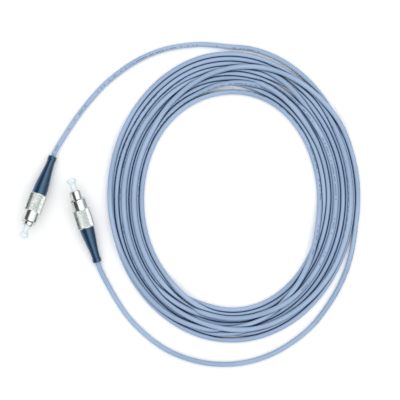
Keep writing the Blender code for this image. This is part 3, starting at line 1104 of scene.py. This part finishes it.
plugFrame = {
    "rear": 26.3,
    "rearRadius": 3.5,
    "cavity": 2.4,
    "flange": (31.1, 31.9),
    "flangeRadius": 4.25,
    "barrel": 3.2,
    "front": 44.7,
    "socket": 2.45,
    "ledge": (35.7, 36.5),
    "ledgeRadius": 1.6,
    "keyWidth": 2.0,
    "keyRadii": (2.7, 3.6),
    "keyStations": (34.2, 43.7),
    "keyTurn": -60.0,
    "keyBevel": 0.12,
}


def frameOutline():
    kind = plugFrame
    return [
        (kind["rear"], kind["cavity"], 0.1),
        (kind["rear"], kind["rearRadius"], 0.15),
        (kind["flange"][0], kind["rearRadius"]),
        (kind["flange"][0], kind["flangeRadius"], 0.1),
        (kind["flange"][1], kind["flangeRadius"], 0.1),
        (kind["flange"][1], kind["barrel"]),
        (kind["front"], kind["barrel"], 0.35),
        (kind["front"], kind["socket"], 0.15),
        (kind["ledge"][1], kind["socket"]),
        (kind["ledge"][1], kind["ledgeRadius"]),
        (kind["ledge"][0], kind["ledgeRadius"]),
        (kind["ledge"][0], kind["cavity"]),
    ]


def keyMesh():
    inner, outer = plugFrame["keyRadii"]
    rear, front = plugFrame["keyStations"]
    shape = bmesh.new()
    bmesh.ops.create_cube(shape, size=1.0)
    size = Matrix.Diagonal((plugFrame["keyWidth"] * mm, (outer - inner) * mm, (front - rear) * mm, 1.0))
    middle = Matrix.Translation((0.0, (inner + outer) / 2 * mm, (front + rear) / 2 * mm))
    turn = Matrix.Rotation(math.radians(plugFrame["keyTurn"]), 4, "Z")
    bmesh.ops.transform(shape, matrix=turn @ middle @ size, verts=shape.verts)
    bmesh.ops.bevel(shape, geom=shape.edges, offset=plugFrame["keyBevel"] * mm, segments=2, affect="EDGES")
    mesh = bpy.data.meshes.new("keyBlock")
    shape.to_mesh(mesh)
    shape.free()
    return mesh


def addFrame(tag, nickel):
    mesh = turnedMesh(f"plugFrame_{tag}", rounded(frameOutline()))
    barrel = addPiece(mesh, nickel)
    key = bpy.data.objects.new("key", keyMesh())
    bpy.context.scene.collection.objects.link(key)
    join = barrel.modifiers.new("key", "BOOLEAN")
    join.operation = "UNION"
    join.object = key
    graph = bpy.context.evaluated_depsgraph_get()
    joined = bpy.data.meshes.new_from_object(barrel.evaluated_get(graph), depsgraph=graph)
    barrel.modifiers.clear()
    bpy.data.objects.remove(key)
    barrel.data = joined
    shadeRound(joined)
    mountPiece(barrel, tag, "root", f"plug_frame_{tag}")


# ferrule

ferrule = {
    "rear": 33.0,
    "front": 46.7,
    "radius": 1.25,
    "chamfer": (0.55, 0.4),
    "domeRise": 0.06,
    "domeMiddle": (0.015, 0.42),
    "coreRadius": 0.07,
    "coreEdge": 1.2,
    "colour": (0.88, 0.88, 0.84),
    "core": (0.10, 0.11, 0.12),
    "roughness": 0.1,
    "handledRoughness": (0.08, 0.16),
    "patchScale": 0.8,
    "grainScale": 20.0,
    "bump": (0.05, 0.00001),
    "sides": 64,
}


def ferruleMaterial(tag):
    material, tree, shader = newMaterial(f"zirconiaWhite_{tag}", ferrule["colour"], ferrule["roughness"])
    vector = connectorVector(tree, tag)
    outward = vectorNode(tree, "LENGTH", awayFromAxis(tree, splitVector(tree, vector)))
    radius = ferrule["coreRadius"]
    core = rangeNode(tree, outward.outputs["Value"], radius * ferrule["coreEdge"], radius)
    link(tree, mixColour(tree, core, ferrule["colour"], ferrule["core"]), shader.inputs["Base Color"])
    handled = effect(tree, "handling", vector, Scale=ferrule["patchScale"])["Mask"]
    roughen(tree, shader, handled, ferrule["handledRoughness"])
    grain = effect(tree, "grain", vector, Scale=ferrule["grainScale"])["Height"]
    bump(tree, shader, grain, *ferrule["bump"])
    return material


def addFerrule(tag):
    radius, front = ferrule["radius"], ferrule["front"]
    chamferLength, chamferDepth = ferrule["chamfer"]
    middleRise, middleRadius = ferrule["domeMiddle"]
    outline = [
        (ferrule["rear"], 0.0),
        (ferrule["rear"], radius, 0.1),
        (front - chamferLength, radius, 0.1),
        (front - ferrule["domeRise"], radius - chamferDepth, 0.06),
        (front - middleRise, middleRadius),
        (front, 0.06),
        (front, 0.0),
    ]
    mesh = turnedMesh(f"ceramicFerrule_{tag}", rounded(outline), ferrule["sides"])
    shadeRound(mesh)
    piece = addPiece(mesh, ferruleMaterial(tag))
    mountPiece(piece, tag, f"ferrule_assembly_{tag}", f"ferrule_{tag}")


# dust cap

dustCap = {
    "rear": 38.7,
    "front": 52.3,
    "neck": 1.9,
    "head": 2.9,
    "headLength": 2.9,
    "faceInset": 0.15,
    "rimLength": 1.7,
    "underHead": (0.25, 0.3),
    "waist": 1.75,
    "waistBehind": 0.9,
    "grip": 4.0,
    "dimpleDepth": 0.25,
    "dimpleRadii": (0.8, 1.2),
    "bore": 1.4,
    "boreEnd": 47.2,
    "sides": 72,
    "colour": (0.86, 0.95, 0.97),
    "cloud": (0.78, 0.89, 0.92),
    "cloudShare": 0.4,
    "clearness": 0.15,
    "bending": 1.42,
    "roughness": 0.28,
    "handledRoughness": (0.22, 0.36),
    "patchScale": 0.6,
    "grainScale": 3.0,
    "bump": (0.15, 0.00004),
}


def capMaterial(tag):
    material, tree, shader = newMaterial(f"clearCap_{tag}", dustCap["colour"], dustCap["roughness"])
    shader.inputs["Transmission Weight"].default_value = dustCap["clearness"]
    shader.inputs["IOR"].default_value = dustCap["bending"]
    vector = connectorVector(tree, tag)
    handled = effect(tree, "handling", vector, Scale=dustCap["patchScale"])["Mask"]
    roughen(tree, shader, handled, dustCap["handledRoughness"])
    cloudy = mathNode(tree, "MULTIPLY", handled, dustCap["cloudShare"])
    link(tree, mixColour(tree, cloudy, dustCap["colour"], dustCap["cloud"]), shader.inputs["Base Color"])
    grain = effect(tree, "grain", vector, Scale=dustCap["grainScale"])["Height"]
    bump(tree, shader, grain, *dustCap["bump"])
    return material


def capOutline():
    # from the dimple in the head, over the rim and down the neck, then up the bore
    rear, front = dustCap["rear"], dustCap["front"]
    neck, head = dustCap["neck"], dustCap["head"]
    headRear = front - dustCap["headLength"]
    dimple = front - dustCap["dimpleDepth"]
    dimpleInner, dimpleOuter = dustCap["dimpleRadii"]
    underLength, underDepth = dustCap["underHead"]
    return [
        (dimple, 0.0),
        (dimple, dimpleInner, 0.2),
        (front, dimpleOuter, 0.2),
        (front, head - dustCap["faceInset"], 0.35),
        (front - dustCap["rimLength"], head, 0.3),
        (headRear + underLength, neck + underDepth, 0.4),
        (headRear - dustCap["waistBehind"], dustCap["waist"], 0.6),
        (rear + dustCap["grip"], neck, 0.8),
        (rear, neck, 0.25),
        (rear, dustCap["bore"], 0.1),
        (dustCap["boreEnd"], dustCap["bore"], 0.3),
        (dustCap["boreEnd"], 0.0),
    ]


def addCap(tag):
    mesh = turnedMesh(f"dustCap_{tag}", rounded(capOutline()), dustCap["sides"])
    shadeRound(mesh)
    piece = addPiece(mesh, capMaterial(tag))
    mountPiece(piece, tag, f"cap_{tag}", f"dust_cap_{tag}")


knurlTree = nutTree()
nickelOf = {}
for tag in plugs:
    nickelOf[tag] = metalMaterial("brightNickel", tag)
    addBoot(tag)
    addNut(tag, knurlTree, nickelOf[tag])
    addFrame(tag, nickelOf[tag])
    addFerrule(tag)
    addCap(tag)
print("connectors made")

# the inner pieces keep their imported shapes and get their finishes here

plasticWear = {"patchScale": 0.8, "tone": 0.8, "rougher": 0.1, "bump": (0.3, 0.00003)}
bufferPlastic = {"colour": (0.86, 0.86, 0.83), "roughness": 0.35, "grainScale": 12.0}
innerJacket = {"colour": jacket["colour"], "roughness": jacket["roughness"], "grainScale": 9.0}
yarn = {
    "plain": (0.78, 0.60, 0.14),
    "dark": (0.52, 0.36, 0.05),
    "light": (0.86, 0.70, 0.24),
    "roughness": 0.75,
    "strands": (14.0, 14.0, 0.5),
    "bump": (0.6, 0.00008),
}


def plasticMaterial(name, tag, kind):
    colour, roughness = kind["colour"], kind["roughness"]
    material, tree, shader = newMaterial(f"{name}_{tag}", colour, roughness)
    vector = connectorVector(tree, tag)
    handled = effect(tree, "handling", vector, Scale=plasticWear["patchScale"])["Mask"]
    faded = tuple(plasticWear["tone"] * part for part in colour)
    link(tree, mixColour(tree, handled, colour, faded), shader.inputs["Base Color"])
    roughen(tree, shader, handled, (roughness, roughness + plasticWear["rougher"]))
    grain = effect(tree, "grain", vector, Scale=kind["grainScale"])["Height"]
    bump(tree, shader, grain, *plasticWear["bump"])
    return material


def yarnMaterial(tag):
    # aramid strands run along the cable, so the pattern is fine across and long forward
    material, tree, shader = newMaterial(f"aramidYellow_{tag}", yarn["plain"], yarn["roughness"])
    stretch = vectorNode(tree, "MULTIPLY", connectorVector(tree, tag))
    stretch.inputs[1].default_value = yarn["strands"]
    strands = node(tree, "ShaderNodeTexNoise")
    strands.inputs["Scale"].default_value = 1.0
    link(tree, stretch.outputs["Vector"], strands.inputs["Vector"])
    tone = spreadTone(tree, strands)
    link(tree, mixColour(tree, tone, yarn["dark"], yarn["light"]), shader.inputs["Base Color"])
    bump(tree, shader, strands.outputs["Fac"], *yarn["bump"])
    return material


def finishInnerPieces(tag):
    steel = metalMaterial("paleSteel", tag)
    crimped = metalMaterial("crimpedMetal", tag)
    finishes = {
        "jacket_end": plasticMaterial("jacketInside", tag, innerJacket),
        "jacket_crimp_ring": crimped,
        "rear_body": nickelOf[tag],
        "aramid_yarn": yarnMaterial(tag),
        "crimp_sleeve": crimped,
        "spring": steel,
        "ferrule_hub": metalMaterial("warmBrass", tag),
        "buffered_fiber": plasticMaterial("bufferWhite", tag, bufferPlastic),
        "nut_retaining_ring": steel,
    }
    for name, material in finishes.items():
        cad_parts[f"{name}_{tag}"].material_slots[0].material = material


for tag in plugs:
    finishInnerPieces(tag)
print("inner pieces finished")

# floor and light

studio = {
    "floorSide": 6.0,
    "floorColour": (0.96, 0.965, 0.97, 1.0),
    "floorRoughness": 0.9,
    "strength": 2.55,
    "softStrength": 1.98,
    "softHorizon": 0.25,
    "softRange": (0.2, 0.95),
    # degrees from overhead, to the left below zero, and how bright the panel is there
    "panel": (
        (-92, 0.40), (-76, 0.30), (-68, 0.03), (-20, 0.03), (-8, 0.50),
        (12, 0.95), (34, 0.95), (56, 0.42), (72, 0.42), (80, 0.04), (92, 0.10),
    ),
    "endsDark": (0.66, 0.88, 0.05),
}


def addFloor():
    mesh = bpy.data.meshes.new("floor")
    half = studio["floorSide"] / 2
    corners = [(-half, -half, 0.0), (half, -half, 0.0), (half, half, 0.0), (-half, half, 0.0)]
    mesh.from_pydata(corners, [], [(0, 1, 2, 3)])
    floor = bpy.data.objects.new("floor", mesh)
    bpy.context.scene.collection.objects.link(floor)
    material = bpy.data.materials.new("paleFloor")
    material.use_nodes = True
    shader = material.node_tree.nodes["Principled BSDF"]
    shader.inputs["Base Color"].default_value = studio["floorColour"]
    shader.inputs["Roughness"].default_value = studio["floorRoughness"]
    mesh.materials.append(material)


def panelLight(tree, up, sideways, lengthways):
    # what reflections see: a wide bright overhead panel that leans to the right, with a dark gap
    # on its left, a thin one at the right horizon and dim ends
    leaning = mathNode(tree, "DEGREES", mathNode(tree, "ARCTAN2", sideways, up))
    ramp = node(tree, "ShaderNodeValToRGB")
    ramp.color_ramp.interpolation = "EASE"
    stops = ramp.color_ramp.elements
    for index, (angle, light) in enumerate(studio["panel"]):
        stop = stops[index] if index < 2 else stops.new(1.0)
        stop.position = (angle + 180) / 360
        stop.color = (light, light, light, 1.0)
    link(tree, rangeNode(tree, leaning, -180, 180, smooth=False), ramp.inputs["Fac"])
    low, high, least = studio["endsDark"]
    ends = rangeNode(tree, mathNode(tree, "ABSOLUTE", lengthways), low, high, 1.0, least)
    panel = node(tree, "ShaderNodeBackground")
    link(tree, mathNode(tree, "MULTIPLY", ends, studio["strength"]), panel.inputs["Strength"])
    link(tree, ramp.outputs["Color"], panel.inputs["Color"])
    return panel.outputs["Background"]


def ceilingLight(tree, up):
    # what lights everything: a soft ceiling, brightest overhead
    ceiling = node(tree, "ShaderNodeBackground")
    overhead = rangeNode(tree, up, *studio["softRange"], studio["softHorizon"], 1.0)
    link(tree, mathNode(tree, "MULTIPLY", overhead, studio["softStrength"]), ceiling.inputs["Strength"])
    return ceiling.outputs["Background"]


def lightFor(tree, ray, others, own):
    # the rays of this kind get their own light
    mixed = node(tree, "ShaderNodeMixShader")
    link(tree, ray, mixed.inputs["Fac"])
    link(tree, others, mixed.inputs[1])
    link(tree, own, mixed.inputs[2])
    return mixed.outputs["Shader"]


def addWorld():
    world = bpy.data.worlds.new("studio")
    bpy.context.scene.world = world
    world.use_nodes = True
    tree = world.node_tree
    room = tree.nodes["Background"]
    room.inputs["Color"].default_value = (1.0, 1.0, 1.0, 1.0)
    parts = splitVector(tree, node(tree, "ShaderNodeTexCoord").outputs["Generated"])
    panel = panelLight(tree, parts["Z"], parts["X"], parts["Y"])
    ray = node(tree, "ShaderNodeLightPath").outputs
    lit = lightFor(tree, ray["Is Glossy Ray"], ceilingLight(tree, parts["Z"]), panel)
    seen = lightFor(tree, ray["Is Camera Ray"], lit, room.outputs["Background"])
    link(tree, seen, tree.nodes["World Output"].inputs["Surface"])


addFloor()
addWorld()
bpy.context.scene.view_settings.view_transform = "Standard"
